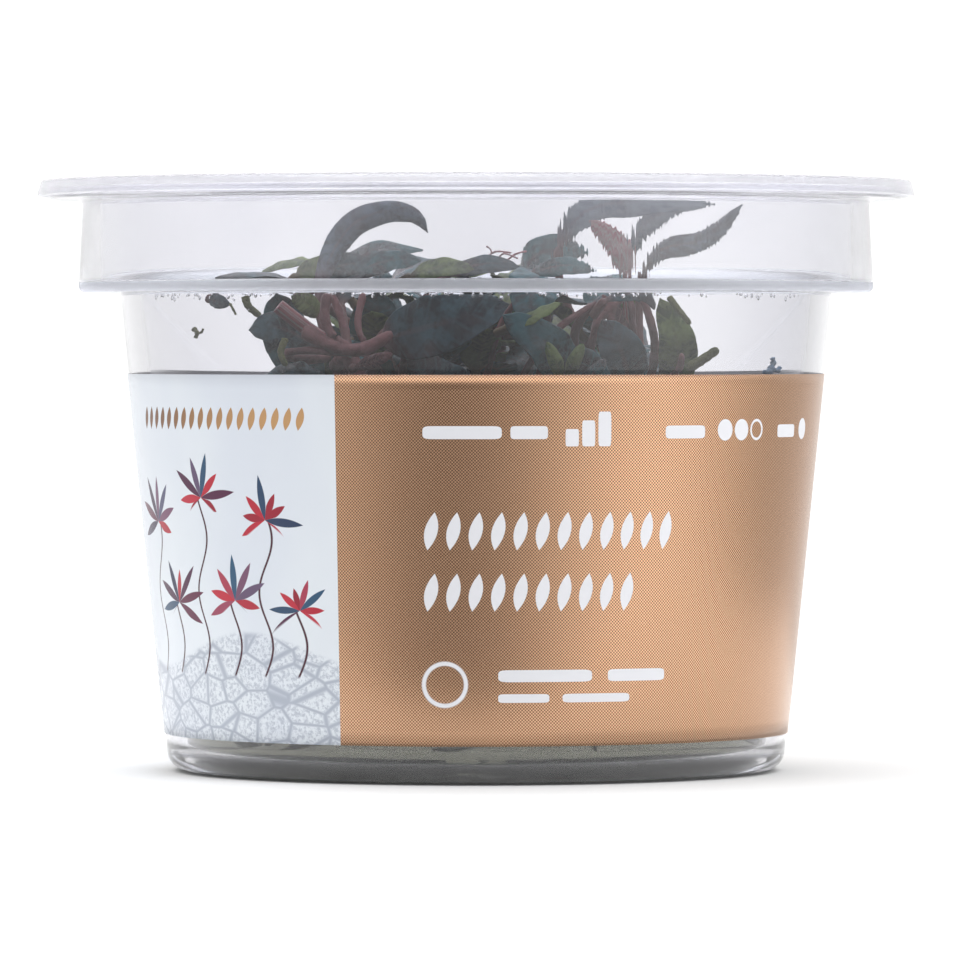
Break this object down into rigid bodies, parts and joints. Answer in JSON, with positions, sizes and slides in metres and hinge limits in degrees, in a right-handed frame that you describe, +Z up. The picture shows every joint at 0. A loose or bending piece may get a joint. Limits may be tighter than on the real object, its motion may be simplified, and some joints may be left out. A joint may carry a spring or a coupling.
{
  "type": "bucephalandra plantlets in a clear lidded cup",
  "caption": "Bucephalandra plantlets on gel in a clear round tapered cup with a press-on lid and a wrap-round label; stands on its flat foot.",
  "frame": {"origin": "centre of the cup's foot, at the lowest point of the whole object", "axes": "+Z up the cup's axis towards the lid, -Y towards the side from which the label is read"},
  "size_m": [0.1054, 0.1054, 0.0706],
  "materials": {
    "clear_plastic": "clear hazy moulded polypropylene, glossy",
    "lid_plastic": "clear hazy moulded polypropylene, slightly frosted",
    "label_print": "satin printed film, copper brown with a pale panel",
    "gel": "clear pale greenish gel",
    "rhizome": "satin brown-red stem skin",
    "root": "matt pale green root skin",
    "leaf_dark": "satin leaf, dark grey-green",
    "leaf_teal": "satin leaf, blue-green",
    "leaf_olive": "satin leaf, olive green",
    "stalk_red": "satin pink-red leaf stalk"
  },
  "bodies": {
    "root": {"cup": "clear_plastic", "gel": "gel", "label": "label_print", "leaf_01": "leaf_dark", "leaf_02": "leaf_dark", "leaf_03": "stalk_red", "leaf_04": "leaf_teal", "leaf_05": "leaf_dark", "leaf_06": "leaf_dark", "leaf_07": "leaf_teal", "leaf_08": "leaf_dark", "leaf_09": "leaf_olive", "leaf_10": "leaf_teal", "leaf_11": "leaf_teal", "leaf_12": "leaf_olive", "leaf_13": "leaf_teal", "leaf_14": "leaf_teal", "leaf_15": "leaf_dark", "leaf_16": "leaf_dark", "leaf_17": "leaf_olive", "leaf_18": "leaf_dark", "leaf_19": "leaf_dark", "leaf_20": "stalk_red", "leaf_21": "leaf_teal", "leaf_22": "leaf_teal", "leaf_23": "leaf_dark", "leaf_24": "leaf_teal", "leaf_25": "leaf_teal", "leaf_26": "leaf_olive", "leaf_27": "leaf_teal", "leaf_28": "leaf_dark", "leaf_29": "leaf_dark", "leaf_30": "leaf_olive", "leaf_31": "leaf_teal", "leaf_32": "leaf_teal", "leaf_33": "leaf_teal", "leaf_34": "leaf_olive", "leaf_35": "leaf_olive", "leaf_36": "leaf_olive", "leaf_37": "leaf_olive", "leaf_38": "leaf_teal", "leaf_39": "leaf_teal", "leaf_40": "leaf_olive", "leaf_41": "leaf_teal", "leaf_42": "leaf_teal", "lid": "lid_plastic", "rhizome_1": "rhizome", "rhizome_2": "rhizome", "rhizome_3": "rhizome", "rhizome_4": "rhizome", "rhizome_5": "rhizome", "rhizome_6": "rhizome", "root_1": "root", "root_2": "root", "root_3": "root", "root_4": "root", "root_5": "root", "root_6": "root", "root_7": "root", "root_8": "root"}
  },
  "joints": []
}
